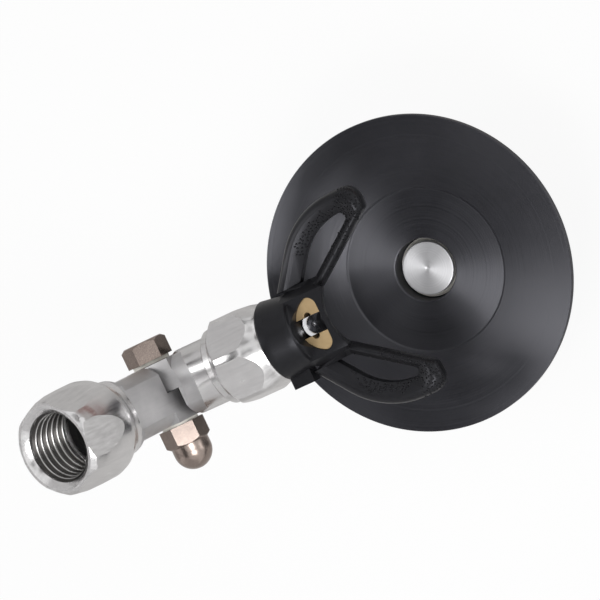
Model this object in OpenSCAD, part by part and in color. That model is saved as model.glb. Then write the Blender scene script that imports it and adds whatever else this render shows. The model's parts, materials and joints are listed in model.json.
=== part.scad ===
// Rolling edge shield for a paint spray gun: a lockable swivel with a threaded inlet, a tip guard
// with two loop wings, and a turned disc that rolls on a pin carried by a bent bracket.
// Millimetres, +Z up. The origin is where the inlet's thread begins. The disc lies level.

/* [Swivel] */
// Bend between the inlet and the guard, where zero is straight
swivel_bend = 75; // [0:1:88]
// Half height of the knuckle, from its middle to a bolt seat
seat_h = 9.95; // [9.4:0.05:10.4]
// Half width across the milled cheeks
cheek_w = 8.9; // [8.4:0.1:9.2]
// Room between an ear's round end and the shoulder that it faces
shoulder_gap = 0.4; // [0.3:0.05:0.8]
// Gap between the two lapped ear faces
lap_gap = 0.2; // [0.1:0.05:0.4]
// Radial clearance of parts that turn on each other
run_gap = 0.05; // [0.02:0.01:0.1]
// Radius of the paint passages
passage_r = 2.5; // [1.5:0.1:2.8]
// Wire radius of the lap seal ring
lap_ring_r = 0.7; // [0.5:0.05:0.9]

/* [Swivel bolt] */
// Diameter of the bolt
bolt_d = 8; // [6:0.5:9]
// Width across the flats of the bolt head and the cap nut
bolt_af = 13; // [12:0.5:14]
// Height of the bolt head
bolt_head_h = 6.5; // [5:0.1:7.5]
// Thickness of the two seal washers
seal_t = 1.05; // [0.6:0.05:1.6]
// Height of the cap nut's hexagon
cap_hex_h = 6.5; // [5:0.1:8]
// Diameter of the cap nut's dome
cap_dome_d = 12.4; // [11:0.1:12.8]
// Straight length between the cap nut's hexagon and its dome
cap_neck_h = 2.3; // [1:0.1:4]
// How far the bolt screws into the cap nut
bolt_grip = 9; // [6:0.5:10]

/* [Inlet socket] */
// Distance from the bolt to the inlet's mouth
inlet_reach = 56; // [52:0.5:62]
// Major diameter of the inlet thread
thread_d = 22.2; // [20:0.1:22.6]
// Depth of the threaded socket
socket_depth = 19; // [14:0.5:21]
// Half width of the socket's hexagon at the mouth
flat_mouth_r = 13.7; // [13.6:0.05:14]
// Lean of the hexagon's flats towards the mouth
flat_lean = 8; // [6:0.1:10]
// Largest radius of the socket's turned bell
bell_r = 15.9; // [15.4:0.1:16.6]
// Radius of the bell at the mouth's rim
rim_r = 13.8; // [13.6:0.1:14.4]
// Radius of the round bar that the neck is milled from
neck_r = 11; // [10.8:0.1:11.6]
// Distance from the bolt to the socket's rear ring
neck_len = 24; // [22:0.5:26]
// Reach of the milled cheeks from the bolt
cheek_reach = 29.5; // [26:0.5:31]
// Turn of the socket's hexagon about its axis
socket_turn = 23; // [0:1:59]
// Thickness of the inlet gasket
gasket_t = 1.6; // [1:0.1:2.5]

/* [Outlet stem] */
// Radius of the outlet stem
stem_r = 10.75; // [10.2:0.05:11]
// Radius of the face cutter that mills the stem's cheeks
face_cut_r = 11.7; // [11.2:0.1:13]
// Distance from the bolt to the end of the outlet thread
outlet_reach = 37.5; // [36:0.1:38.5]

/* [Guard nut] */
// Distance from the bolt to the nut's rear face
nut_x = 21.8; // [21:0.1:23]
// Width across the flats of the nut
nut_af = 27; // [26:0.1:28]
// Radius of the nut's turned corners
nut_corner_r = 15; // [14.4:0.1:15.6]
// Turn of the nut's hexagon about its axis
nut_turn = 52; // [0:1:59]
// Outer radius of the tube that carries the guard
tube_r = 9.2; // [8.8:0.1:9.6]
// Length of that tube in front of the nut
tube_len = 8.3; // [7.5:0.1:9]
// Thickness of the snap ring
ring_t = 0.8; // [0.6:0.1:1]

/* [Tip guard] */
// Distance from the bolt to the guard collar's rear edge
collar_x = 42.6; // [42.5:0.1:43.5]
// Length of the collar
collar_len = 10.7; // [10:0.1:12]
// Radius of the collar at its rear edge
collar_r = 13.2; // [12.8:0.1:14]
// Radius of the collar at its front edge
collar_front_r = 11.8; // [11.4:0.1:12.6]
// Height of the guard's head above the axis
head_top = 6.6; // [6.2:0.1:7.4]
// Depth of the guard's head below the axis
head_bottom = 8.6; // [8:0.1:10]
// Distance from the bolt to the valley between the wings
valley_x = 63.9; // [63.6:0.1:65]
// Distance from the bolt to the wings' tips
wing_reach = 88.5; // [84:0.5:94]
// Distance from the axis to a wing's outer edge
wing_span = 34.3; // [31:0.1:38]
// Lean of the outer rail where it leaves the collar
wing_lean = 52; // [46:1:58]
// Radius of the outer rail's long bend
wing_bend_r = 27; // [23:0.5:30]
// Width of the outer rail
rail_w = 6.8; // [6:0.1:7.6]
// Half height of the outer rail
rail_h = 4; // [3:0.1:5]
// Width of the inner rail
inner_rail_w = 3.4; // [3:0.1:4]
// Half height of the inner rail
inner_rail_h = 2.8; // [2:0.1:3.4]
// How far the side lug stands out from the axis
lug_reach = 16; // [14.5:0.1:17]

/* [Tip pads and seat] */
// Distance from the bolt to the middle of the tip socket
socket_x = 59.2; // [59:0.1:59.4]
// Distance from the bolt to the straight front of the brass pads
pad_front_x = 62.5; // [62.3:0.1:62.8]
// Radius of the brass pads' round back
pad_r = 9.1; // [8.6:0.1:9.3]
// Half length of the brass pads across the guard
pad_reach = 8.6; // [8:0.1:8.8]
// Radius of the brass pads' front corners
pad_corner_r = 3; // [1.5:0.1:3.4]
// Thickness of the brass pads
pad_t = 4; // [3:0.1:4.4]
// Radius of the tip socket, and half the width of its slot
tip_r = 3; // [2.6:0.1:3.2]
// Radius of the pads' index notches
notch_r = 1.2; // [0.8:0.1:1.4]
// Radius of the spray hole
spray_r = 2.4; // [2:0.1:2.6]
// Thickness of the seat's flange
seat_flange_t = 1.6; // [1.2:0.1:1.8]
// Thickness of the seat gasket
seat_gasket_t = 1.4; // [1:0.1:1.5]

/* [Disc and axle] */
// Diameter of the disc
disc_d = 100; // [90:1:104]
// Distance from the bolt to the disc's axle
disc_x = 85; // [84:0.5:92]
// Depth of the disc's rim below the guard axis
rim_drop = 22; // [22:0.1:26]
// Depth of the dish from its rim to its flat middle
dish_h = 8.8; // [7:0.1:10]
// Diameter of the flat middle
flat_d = 52; // [46:0.5:56]
// Wall of the disc
disc_t = 4.2; // [3:0.1:5]
// Thickness of the disc at its rim
rim_t = 2.6; // [2:0.1:3]
// Step between the cone and the flat middle
flat_step = 0.4; // [0.2:0.1:0.8]
// Diameter of the recess round the pin's head
recess_d = 20; // [19:0.1:22]
// Diameter of the pin's head
pin_d = 17; // [15:0.1:17.6]
// Depth of the pin's face below the flat middle
pin_drop = 2.3; // [1:0.1:3]
// Thickness of the pin's head
pin_head_t = 3.2; // [2.5:0.1:4]
// Diameter of the journal that the bush turns on
journal_d = 12; // [10.5:0.1:12.4]
// Length of the bush
bush_len = 6; // [5:0.1:8]
// Wall of the bush
bush_t = 2; // [1.5:0.1:2.4]
// Thickness of the thrust washers
thrust_t = 1; // [0.6:0.1:1.4]
// End play of the disc at each thrust washer
end_play = 0.12; // [0.08:0.01:0.25]
// Diameter of the pin's threaded end
pin_thread_d = 8; // [6:0.5:8]
// Thickness of the washer under the axle nut
axle_washer_t = 1.4; // [1:0.1:2]
// Height of the axle nut
axle_nut_h = 6.5; // [5:0.1:7]

/* [Bracket] */
// Thickness of the bracket's strip
strip_t = 4; // [3:0.1:4.2]
// Width of the bracket's strip
strip_w = 24; // [20:0.5:25]
// Distance from the bolt to the bracket's upright
upright_x = 24; // [22:0.5:26]
// Outer radius of the strip's bends
bend_r = 8; // [6:0.5:10]
// Depth of the bracket's upper leg below the guard axis
leg_drop = 16.2; // [15.8:0.1:16.8]
// Diameter of the bracket screws
screw_d = 4; // [3:0.5:4.5]
// Distance between the two bracket screws
screw_pitch = 11; // [9:0.5:12]

/* [Hidden] */
$fn = 96;

aluminium = [0.76, 0.75, 0.74];
nickel = [0.60, 0.54, 0.50];
black_plastic = [0.09, 0.09, 0.10];
black_paint = [0.07, 0.07, 0.07];
rubber = [0.12, 0.11, 0.11];
nylon = [0.85, 0.83, 0.78];
brass = [0.78, 0.62, 0.36];
steel = [0.80, 0.80, 0.82];
bronze = [0.66, 0.48, 0.28];

// A small overlap that lets cuts break through a face
eps = 0.5;
// Reach of cutting shapes past everything that they cut
far = 40;

shoulder = cheek_w + shoulder_gap;
bolt_r = bolt_d / 2;
bolt_hole_r = bolt_r + run_gap;
waist_r = bolt_r - 1.2;
passage_y = lap_gap / 2 + passage_r + 2;
thread_r = thread_d / 2;
socket_floor = inlet_reach - socket_depth;
mouth_r = rim_r - 0.9;
thread_start = inlet_reach - mouth_r + thread_r;
knuckle = thread_start * [cos(swivel_bend), 0, -sin(swivel_bend)];
// The gasket lies in a pocket behind the thread, clear of the passage
gasket_r = thread_r - 1.5;
gasket_hole_r = passage_y + passage_r + 0.2;

// The seal washers cover the bolt hole and stay inside the hexagon's flats
seal_r = bolt_af / 2 - 0.4;
head_seat = seat_h + end_play + seal_t;
cap_seat = seat_h + seal_t;
cap_len = cap_hex_h + cap_neck_h + cap_dome_d / 2;

// The lap ring lies in a groove that is deeper than its wire by half the lap gap
lap_groove_r = bolt_hole_r + 2.3;
lap_groove_depth = 2 * lap_ring_r - lap_gap / 2;

outlet_thread_r = thread_r - run_gap;
nut_front = collar_x - 0.1;
nut_shoulder = outlet_reach + seat_gasket_t + seat_flange_t + 3 * end_play;
tube_end = nut_front + tube_len;
tube_bore_r = tube_r - 2.1;
ring_x = tube_end - 0.4 - ring_t;
ring_seat_r = tube_r - 0.8;
ring_r = tube_r + 1;

guard_bore_r = tube_r + run_gap;
ring_room_r = ring_r + 0.25;
ring_room_x = ring_x - 0.25;
ring_room_end = tube_end + 0.4;
collar_front = collar_x + collar_len;
pads_top = head_top - 0.6;
pads_bottom = pads_top - pad_t;
insert_gap = 0.05;
foot_half = 9;
foot_x = collar_x + 0.9;
foot_len = 9;

// A wing is a loop round its window. Both outlines start where the outer rail leaves the collar, and go out
// along the rail, round the tip and back along the inner rail, with as many points as each other.
wing_root = [collar_x + 7.4, collar_r + 0.1];
inner_root = [valley_x + 0.6, 9.2];
inner_lean = 34.5;
rail_run = [cos(wing_lean), sin(wing_lean)];
rail_side = [sin(wing_lean), -cos(wing_lean)];
inner_run = [cos(inner_lean), sin(inner_lean)];
inner_side = [-sin(inner_lean), cos(inner_lean)];
window_y = wing_span - rail_w;
window_root = wing_root + rail_w * rail_side;
window_inner = inner_root + inner_rail_w * inner_side;
tip_turn = -180 + inner_lean;
outer_edge = concat([wing_root],
    bend(at_height(wing_root, wing_lean, wing_span), wing_lean, 0, wing_bend_r, 10),
    bend([wing_reach, wing_span], 0, -88, 5, 6),
    bend(at_reach(inner_root, inner_lean, wing_reach), -88, tip_turn, 1.6, 4),
    [inner_root]);
window_edge = concat([at_height(window_root, wing_lean, inner_root[1] + 4)],
    bend(at_height(window_root, wing_lean, window_y), wing_lean, 0, wing_bend_r - rail_w, 10),
    bend(at_height(window_inner, inner_lean, window_y), 0, tip_turn, 1.6, 11),
    [window_inner + [1.6, 1.1]]);
rail_heights = concat([for (i = [0 : 17]) rail_h],
                      [for (i = [1 : 6]) rail_h + (inner_rail_h - rail_h) * i / 6],
                      [inner_rail_h]);
// Section of a rail from its outer edge to the window: round outside, and sloped down to the window
rail_section = [[0, 0.25], [0.04, 0.55], [0.13, 0.82], [0.28, 0.97], [0.42, 1], [0.6, 0.85], [1, 0.4]];

flange_x = outlet_reach + end_play + seat_gasket_t;
flange_r = thread_r - 1.6;
seat_stem_r = tube_bore_r - 0.2;
seat_stem_end = ring_room_end - 0.2;
seat_nose_end = socket_x - tip_r - 0.1 + 1.1;
saddle_r = tip_r + 1.2;
saddle_top = pads_top - 0.3;

disc_r = disc_d / 2;
flat_r = flat_d / 2;
recess_r = recess_d / 2;
flat_z = -rim_drop - dish_h;
pin_face_z = flat_z - pin_drop;
pin_under_z = pin_face_z - pin_head_t;
// The upper thrust washer lies on the recess floor, under the pin's head
recess_floor_z = pin_under_z - end_play - thrust_t;
hub_end_z = recess_floor_z - bush_len;
leg_top_z = hub_end_z - end_play - thrust_t;
leg_bottom_z = leg_top_z - strip_t;
journal_r = journal_d / 2;
bush_r = journal_r + run_gap + bush_t;
hub_r = bush_r + 6;
washer_r = recess_r - 0.4;
pin_thread_r = pin_thread_d / 2;
axle_washer_z = leg_bottom_z - axle_washer_t;
axle_nut_z = axle_washer_z - axle_nut_h;
pin_end_z = axle_nut_z - 0.8;
screw_x = foot_x + foot_len / 2;
screw_head_r = screw_d * 0.88;
screw_head_h = screw_d * 0.55;
screw_grip = 6;

// Puts a shape that is drawn about the knuckle into the part's own frame
module at_knuckle() {
    translate(knuckle) children();
}

// Turns a shape drawn along the outlet onto the inlet's axis
module on_inlet() {
    at_knuckle() rotate([0, swivel_bend - 180, 0]) children();
}

module along_x() {
    rotate([0, 90, 0]) children();
}

module along_y() {
    rotate([-90, 0, 0]) children();
}

// Revolves [distance, radius] points about the X axis
module turned(points) {
    along_x() rotate_extrude() polygon([for (p = points) [p[1], p[0]]]);
}

// Revolves [height, radius] points about the disc's axle
module turned_on_axle(points) {
    translate([disc_x, 0, 0]) rotate_extrude() polygon([for (p = points) [p[1], p[0]]]);
}

module rod_x(r, x0, x1) {
    translate([x0, 0, 0]) along_x() cylinder(r = r, h = x1 - x0);
}

module rod_y(r, y0, y1) {
    translate([0, y0, 0]) along_y() cylinder(r = r, h = y1 - y0);
}

// A hexagonal bar along Z, measured across its flats
module hex_bar(af, h) {
    cylinder(r = af / sqrt(3), h = h, $fn = 6);
}

// Takes the corners off one end of a hexagon, as turning does
module hex_chamfer(af, h, lead) {
    corner = af / sqrt(3);
    rotate_extrude() polygon([[0, 0], [corner, 0], [corner, h - lead], [af / 2 * 0.96, h], [0, h]]);
}

// One ear: a flat lug with a round end about the bolt, from y0 to y1
module ear(y0, y1) {
    rod_y(cheek_w, y0, y1);
    translate([0, y0, -cheek_w]) cube([shoulder + eps, y1 - y0, 2 * cheek_w]);
}

// Mills both cheeks flat within a circle about the middle of the knuckle
module cheek_cuts(r) {
    for (side = [-1, 1]) {
        mirror([0, 0, side < 0 ? 1 : 0]) translate([0, 0, cheek_w]) cylinder(r = r, h = far);
    }
}

// Mills the two bolt seats flat over a length
module seat_cuts(x1) {
    for (side = [-1, 1]) {
        mirror([0, side < 0 ? 1 : 0, 0]) translate([-far, seat_h, -far]) cube([far + x1, far, 2 * far]);
    }
}

// Turned bell, with six flats that lean in towards the mouth
module socket_bell() {
    ring_end = neck_len + 2.2;
    bell_len = inlet_reach - ring_end;
    difference() {
        turned([[neck_len, 0], [neck_len, neck_r], [ring_end, neck_r], [ring_end + 0.3, neck_r + 1.2],
                [ring_end + 0.16 * bell_len, neck_r + 1.4], [ring_end + 0.235 * bell_len, bell_r - 2.3],
                [ring_end + 0.275 * bell_len, bell_r - 1.3], [ring_end + 0.33 * bell_len, bell_r - 0.5],
                [ring_end + 0.4 * bell_len, bell_r], [ring_end + 0.6 * bell_len, bell_r],
                [ring_end + 0.8 * bell_len, bell_r - 0.2], [inlet_reach - 1.4, rim_r + 1.2],
                [inlet_reach, rim_r], [inlet_reach, 0]]);
        for (i = [0 : 5]) {
            rotate([socket_turn + 60 * i, 0, 0]) translate([inlet_reach, flat_mouth_r, 0])
                rotate([0, 0, -flat_lean]) translate([-far, 0, -far / 2]) cube([2 * far, far, far]);
        }
    }
}

module inlet_body() {
    color(aluminium) on_inlet() difference() {
        union() {
            difference() {
                union() {
                    socket_bell();
                    rod_x(neck_r, shoulder, neck_len + eps);
                }
                cheek_cuts(cheek_reach);
                seat_cuts(neck_len);
            }
            ear(-seat_h, -lap_gap / 2);
        }
        rod_x(thread_r, socket_floor, inlet_reach + eps);
        turned([[thread_start, 0], [thread_start, thread_r], [inlet_reach, mouth_r],
                [inlet_reach + eps, mouth_r], [inlet_reach + eps, 0]]);
        rod_x(gasket_r + insert_gap, socket_floor - gasket_t, socket_floor + eps);
        translate([0, -passage_y, 0]) rod_x(passage_r, 0, socket_floor);
        rod_y(bolt_hole_r, -seat_h - eps, eps);
        lap_groove();
    }
}

// Ring groove in the inlet ear's lapped face
module lap_groove() {
    translate([0, -lap_gap / 2 - lap_groove_depth, 0]) along_y() difference() {
        cylinder(r = lap_groove_r + lap_ring_r + 0.1, h = lap_groove_depth + eps);
        cylinder(r = lap_groove_r - lap_ring_r - 0.1, h = lap_groove_depth + eps);
    }
}

module lap_ring() {
    color(rubber) on_inlet() translate([0, -lap_gap / 2 - lap_groove_depth + lap_ring_r, 0]) along_y()
        rotate_extrude() translate([lap_groove_r, 0]) circle(r = lap_ring_r, $fn = 48);
}

module inlet_gasket() {
    color(nylon) on_inlet() translate([socket_floor - gasket_t, 0, 0]) along_x() difference() {
        cylinder(r = gasket_r, h = gasket_t);
        translate([0, 0, -eps]) cylinder(r = gasket_hole_r, h = gasket_t + 2 * eps);
    }
}

// Hexagon bolt with a waist that lets the paint pass round it
module swivel_bolt() {
    bolt_end = -cap_seat - bolt_grip;
    color(nickel) on_inlet() {
        translate([0, head_seat, 0]) along_y() rotate([0, 0, 12]) intersection() {
            hex_bar(bolt_af, bolt_head_h);
            hex_chamfer(bolt_af, bolt_head_h, 1);
        }
        along_y() rotate_extrude() polygon([[0, head_seat], [bolt_r, head_seat],
            [bolt_r, passage_y + passage_r], [waist_r, passage_y + passage_r - 0.8],
            [waist_r, -passage_y - passage_r + 0.8], [bolt_r, -passage_y - passage_r],
            [bolt_r, bolt_end + 0.8], [bolt_r - 0.8, bolt_end], [0, bolt_end]]);
    }
}

// Ring about the bolt, from y0 to y1
module bolt_ring(y0, y1) {
    translate([0, y0, 0]) along_y() difference() {
        cylinder(r = seal_r, h = y1 - y0);
        translate([0, 0, -eps]) cylinder(r = bolt_hole_r, h = y1 - y0 + 2 * eps);
    }
}

module bolt_seal() {
    color(nylon) on_inlet() bolt_ring(head_seat - seal_t, head_seat);
}

module cap_seal() {
    color(nylon) on_inlet() bolt_ring(-cap_seat, -seat_h);
}

module cap_nut() {
    dome_r = cap_dome_d / 2;
    color(nickel) on_inlet() translate([0, -cap_seat, 0]) mirror([0, 1, 0]) along_y() difference() {
        union() {
            rotate([0, 0, 12]) intersection() {
                hex_bar(bolt_af, cap_hex_h);
                hex_chamfer(bolt_af, cap_hex_h, 1);
            }
            cylinder(r = dome_r, h = cap_hex_h + cap_neck_h);
            translate([0, 0, cap_hex_h + cap_neck_h]) sphere(r = dome_r);
        }
        translate([0, 0, -eps]) cylinder(r = bolt_hole_r, h = bolt_grip + 1 + eps);
    }
}

module outlet_body() {
    bore_x = passage_y + 9;
    color(aluminium) at_knuckle() difference() {
        union() {
            difference() {
                union() {
                    rod_x(stem_r, shoulder, nut_x);
                    rod_x(outlet_thread_r, nut_x - eps, outlet_reach);
                }
                cheek_cuts(face_cut_r);
                seat_cuts(shoulder + eps);
            }
            ear(lap_gap / 2, seat_h);
        }
        rod_y(bolt_hole_r, -eps, seat_h + eps);
        translate([0, passage_y, 0]) rod_x(passage_r, 0, bore_x + passage_r);
        rod_x(passage_r + 0.7, bore_x, outlet_reach + eps);
    }
}

module guard_nut() {
    flange = stem_r + 1.55;
    chamfer_x = nut_x + 2.2;
    flat_x = chamfer_x + nut_corner_r - flange;
    color(aluminium) at_knuckle() difference() {
        union() {
            intersection() {
                turned([[nut_x, 0], [nut_x, flange - 0.4], [nut_x + 0.4, flange], [chamfer_x, flange],
                        [flat_x, nut_corner_r], [nut_front - 7, nut_corner_r],
                        [nut_front - 2.9, nut_corner_r - 1.5], [nut_front, nut_corner_r - 2.3],
                        [nut_front, 0]]);
                along_x() rotate([0, 0, nut_turn]) translate([0, 0, nut_x])
                    hex_bar(nut_af, nut_front - nut_x);
            }
            rod_x(tube_r, nut_front - eps, tube_end);
        }
        rod_x(thread_r, nut_x - eps, nut_shoulder);
        rod_x(tube_bore_r, nut_shoulder - eps, tube_end + eps);
        translate([ring_x, 0, 0]) along_x() difference() {
            cylinder(r = tube_r + eps, h = ring_t);
            cylinder(r = ring_seat_r, h = ring_t);
        }
    }
}

// Open spring ring that holds the guard on the nut's tube
module snap_ring() {
    color(steel) at_knuckle() translate([ring_x, 0, 0]) along_x() difference() {
        cylinder(r = ring_r, h = ring_t);
        translate([0, 0, -eps]) cylinder(r = ring_seat_r, h = ring_t + 2 * eps);
        translate([0, -2, -eps]) cube([far, 4, ring_t + 2 * eps]);
    }
}

// Arc of n steps that rounds a corner between two headings
function bend(corner, a0, a1, r, n) =
    let (turn = a1 - a0,
         run = r * tan(abs(turn) / 2),
         side = sign(turn),
         start = corner - run * [cos(a0), sin(a0)],
         middle = start + side * r * [-sin(a0), cos(a0)])
    [for (i = [0 : n]) middle + side * r * [sin(a0 + turn * i / n), -cos(a0 + turn * i / n)]];

// Points where a line from p with a lean reaches a height or a reach
function at_height(p, lean, y) = [p[0] + (y - p[1]) / tan(lean), y];
function at_reach(p, lean, x) = [x, p[1] + (x - p[0]) * tan(lean)];

// One loop wing, swept round its window
module wing() {
    under_side = [for (i = [len(rail_section) - 1 : -1 : 0]) [rail_section[i][0], -rail_section[i][1]]];
    section = concat(rail_section, under_side);
    m = len(section);
    n = len(outer_edge);
    points = [for (i = [0 : n - 1]) for (q = section)
        let (p = outer_edge[i] + q[0] * (window_edge[i] - outer_edge[i]))
        [p[0], p[1], q[1] * rail_heights[i]]];
    faces = [for (i = [0 : n - 1]) for (k = [0 : m - 1]) for (half = [0, 1])
        let (a = i * m + k,
             b = (i + 1) % n * m + k,
             c = (i + 1) % n * m + (k + 1) % m,
             d = i * m + (k + 1) % m)
        half == 0 ? [a, b, d] : [b, c, d]];
    polyhedron(points, faces);
}

// Middle block between the wings. Its sides slope down to the windows, and its front leans back.
module guard_head() {
    rear = collar_front - 3;
    side = inner_root[1] + 4;
    difference() {
        translate([0, 0, -head_bottom]) linear_extrude(head_bottom + head_top)
            polygon(concat([[rear, -10.4], [rear + 4, -side], [valley_x - 1.5, -side]],
                           [for (y = [-9.6 : 2.4 : 9.6]) [valley_x + 0.03 * y * y, y]],
                           [[valley_x - 1.5, side], [rear + 4, side], [rear, 10.4]]));
        for (flip = [0, 1]) {
            mirror([0, flip, 0]) translate([0, side, 1.6]) rotate([33, 0, 0]) translate([0, 0, -far])
                cube([2 * far, far, 2 * far]);
        }
        translate([valley_x, -far, head_top - 1.4]) rotate([0, 27, 0]) translate([0, 0, -far])
            cube([far, 2 * far, far]);
    }
}

// Outline of the brass pads: round at the back and straight at the front, with round corners
module pad_form(grow, z0, z1) {
    edge_y = pad_reach - pad_corner_r;
    translate([pad_front_x, 0, z0]) linear_extrude(z1 - z0) intersection() {
        circle(r = pad_r + grow);
        union() {
            translate([-far, -edge_y]) square([far + grow, 2 * edge_y]);
            translate([-far, -pad_reach - grow]) square([far - pad_corner_r, 2 * (pad_reach + grow)]);
            for (side = [-1, 1]) {
                translate([-pad_corner_r, side * edge_y]) circle(r = pad_corner_r + grow);
            }
        }
    }
}

module tip_guard() {
    color(black_plastic) at_knuckle() difference() {
        union() {
            turned([[collar_x, 0], [collar_x, collar_r - 0.5], [collar_x + 0.5, collar_r],
                    [collar_front - 0.4, collar_front_r], [collar_front, collar_front_r - 0.8],
                    [collar_front + 0.5, collar_front_r - 0.8], [collar_front + 0.7, collar_front_r - 0.4],
                    [collar_front + 3.2, head_top + 1], [collar_front + 3.2, 0]]);
            guard_head();
            wing();
            mirror([0, 1, 0]) wing();
            translate([foot_x, -foot_half, -leg_drop]) cube([foot_len, 2 * foot_half, leg_drop]);
            translate([collar_x, -lug_reach, -1.5]) cube([7.3, lug_reach - 6, 5]);
        }
        rod_x(guard_bore_r, collar_x - eps, ring_room_x);
        rod_x(ring_room_r, ring_room_x - 0.01, ring_room_end);
        rod_x(tip_r, ring_room_end - eps, socket_x);
        saddle_form(insert_gap);
        rod_x(spray_r, socket_x, valley_x + far);
        translate([socket_x, 0, -head_bottom + 2]) cylinder(r = tip_r, h = far);
        pad_form(insert_gap, pads_bottom - insert_gap, far);
        for (side = [-1, 1]) {
            translate([screw_x, side * screw_pitch / 2, -leg_drop - eps])
                cylinder(r = screw_d / 2 + run_gap, h = screw_grip + 1 + eps);
        }
    }
}

// Upright half pipe of the seat, which a tip's barrel lies against
module saddle_form(grow) {
    base_z = -tip_r + 0.1 - grow;
    intersection() {
        translate([socket_x, 0, base_z]) cylinder(r = saddle_r + grow, h = saddle_top + grow - base_z);
        translate([socket_x - far, -tip_r + 0.1 - grow, -far])
            cube([far - 1.2 + grow, 2 * (tip_r - 0.1 + grow), 2 * far]);
    }
}

// Two brass pads that line the tip socket, with a slot between them and notches that index the tip
module tip_pads() {
    color(brass) at_knuckle() difference() {
        pad_form(0, pads_bottom, pads_top);
        translate([socket_x - far, -tip_r, -far]) cube([2 * far, 2 * tip_r, 2 * far]);
        for (side = [-1, 1]) {
            translate([socket_x - 1.2, side * (tip_r + 0.1), -far]) cylinder(r = notch_r, h = 2 * far);
        }
        translate([valley_x, -far, head_top - 1.4]) rotate([0, 27, 0]) translate([0, 0, -far])
            cube([far, 2 * far, far]);
    }
}

// Steel seat: a flange on the gasket, a stem through the nut's tube and a hollow-ground nose
module tip_seat() {
    color(steel) at_knuckle() difference() {
        union() {
            rod_x(flange_r, flange_x, flange_x + seat_flange_t);
            rod_x(seat_stem_r, flange_x + seat_flange_t - 0.01, seat_stem_end);
            rod_x(tip_r - 0.1, seat_stem_end - 0.01, seat_nose_end);
            saddle_form(0);
        }
        rod_x(spray_r - 1.6, flange_x - eps, seat_nose_end + eps);
        translate([socket_x, 0, -far]) cylinder(r = tip_r + 0.1, h = 2 * far);
        translate([socket_x, 0, saddle_top - 1]) cylinder(r1 = tip_r + 0.1, r2 = tip_r + 1.2, h = 1.1);
    }
}

module seat_gasket() {
    color(rubber) at_knuckle() translate([outlet_reach + end_play, 0, 0]) along_x() difference() {
        cylinder(r = flange_r, h = seat_gasket_t);
        translate([0, 0, -eps]) cylinder(r = spray_r, h = seat_gasket_t + 2 * eps);
    }
}

// Side view of the bent strip, in X and Z
module strip_profile() {
    upper_end = foot_x + foot_len;
    height = leg_bottom_z + leg_drop;
    translate([upright_x + bend_r, leg_bottom_z]) square([disc_x - upright_x - bend_r, strip_t]);
    translate([upright_x, leg_bottom_z + bend_r]) square([strip_t, -height - 2 * bend_r]);
    translate([upright_x + bend_r, -leg_drop - strip_t])
        square([upper_end - upright_x - bend_r, strip_t]);
    for (end = [[leg_bottom_z + bend_r, 1], [-leg_drop - bend_r, -1]]) {
        translate([upright_x + bend_r, end[0]]) intersection() {
            difference() {
                circle(r = bend_r);
                circle(r = bend_r - strip_t);
            }
            translate([-bend_r, end[1] > 0 ? -bend_r : 0]) square(bend_r);
        }
    }
}

// Bent strip from the guard's pad, round the disc's rim and under the disc to its axle
module bracket_arm() {
    color(black_paint) at_knuckle() difference() {
        union() {
            translate([0, strip_w / 2, 0]) rotate([90, 0, 0]) linear_extrude(strip_w) strip_profile();
            translate([disc_x, 0, leg_bottom_z]) cylinder(r = strip_w / 2, h = strip_t);
        }
        translate([disc_x, 0, leg_bottom_z - eps])
            cylinder(r = pin_thread_r + run_gap, h = strip_t + 2 * eps);
        for (side = [-1, 1]) {
            translate([screw_x, side * screw_pitch / 2, -leg_drop - strip_t - eps])
                cylinder(r = screw_d / 2 + run_gap, h = strip_t + 2 * eps);
        }
    }
}

// Two socket-head screws that hold the bracket to the guard's pad
module bracket_screws() {
    color(nickel) at_knuckle() for (side = [-1, 1]) {
        translate([screw_x, side * screw_pitch / 2, -leg_drop - strip_t]) difference() {
            union() {
                cylinder(r = screw_d / 2, h = strip_t + screw_grip);
                translate([0, 0, -screw_head_h]) cylinder(r = screw_head_r, h = screw_head_h);
            }
            translate([0, 0, -screw_head_h - eps]) hex_bar(screw_d * 0.75, screw_head_h * 0.6 + eps);
        }
    }
}

// Turned pin: a broad head in the disc's recess, the journal and a threaded end
module axle_pin() {
    pin_r = pin_d / 2;
    color(aluminium) at_knuckle() turned_on_axle([[pin_face_z, 0], [pin_face_z, pin_r - 0.4],
        [pin_face_z - 0.4, pin_r], [pin_under_z, pin_r], [pin_under_z, journal_r], [leg_top_z, journal_r],
        [leg_top_z, pin_thread_r], [pin_end_z + 0.6, pin_thread_r], [pin_end_z, pin_thread_r - 0.6],
        [pin_end_z, 0]]);
}

// Flat ring about the axle
module axle_ring(inner_r, outer_r, z0, z1) {
    at_knuckle() turned_on_axle([[z0, inner_r], [z0, outer_r], [z1, outer_r], [z1, inner_r]]);
}

module upper_thrust_washer() {
    color(nylon) axle_ring(journal_r + run_gap, washer_r, recess_floor_z, recess_floor_z + thrust_t);
}

module lower_thrust_washer() {
    color(nylon) axle_ring(journal_r + run_gap, hub_r - 0.6, leg_top_z, leg_top_z + thrust_t);
}

module axle_washer() {
    color(nickel) axle_ring(pin_thread_r + run_gap, pin_thread_r * 1.9, axle_washer_z, leg_bottom_z);
}

module axle_nut() {
    color(nickel) at_knuckle() translate([disc_x, 0, axle_washer_z]) mirror([0, 0, 1]) difference() {
        intersection() {
            hex_bar(bolt_af, axle_nut_h);
            hex_chamfer(bolt_af, axle_nut_h, 1);
        }
        translate([0, 0, -eps]) cylinder(r = pin_thread_r + run_gap, h = axle_nut_h + 2 * eps);
    }
}

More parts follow.
